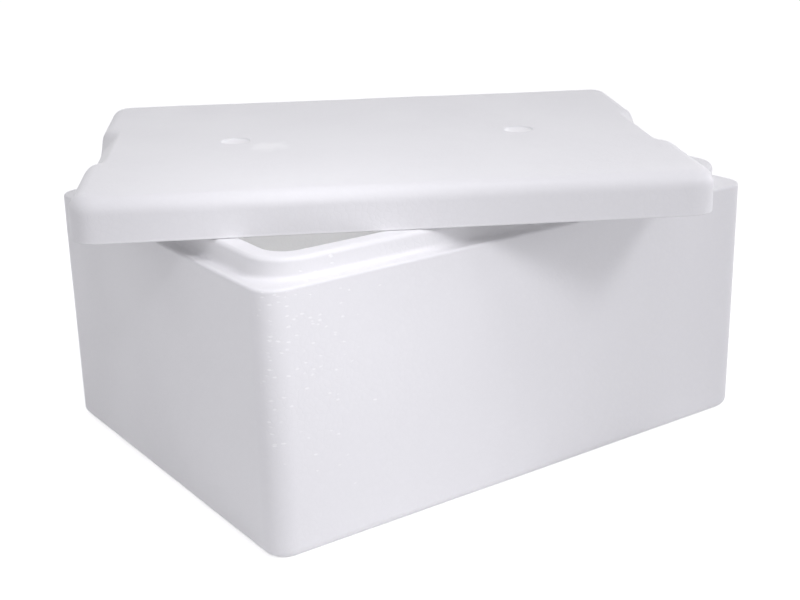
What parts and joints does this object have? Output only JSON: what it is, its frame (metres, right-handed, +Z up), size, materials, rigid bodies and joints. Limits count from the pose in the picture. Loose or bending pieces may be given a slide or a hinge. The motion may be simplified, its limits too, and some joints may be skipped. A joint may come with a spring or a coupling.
{
  "type": "insulated foam box with lid",
  "caption": "Rectangular moulded bead-foam box with thick walls and a stepped rim, its loose lid lying turned on the rim with one corner of the inside open.",
  "frame": {"origin": "middle of the tub's flat base", "axes": "+X along the tub's long side, +Y along its short side, +Z up out of the open tub; the longer front side faces -Y"},
  "size_m": [0.4824, 0.4454, 0.213],
  "materials": {
    "tub_foam": "white moulded bead foam, fine closed skin with the bead pattern showing",
    "lid_foam": "white moulded bead foam, fine closed skin with the bead pattern showing"
  },
  "bodies": {
    "root": {"tub": "tub_foam", "lid": "lid_foam"}
  },
  "joints": []
}
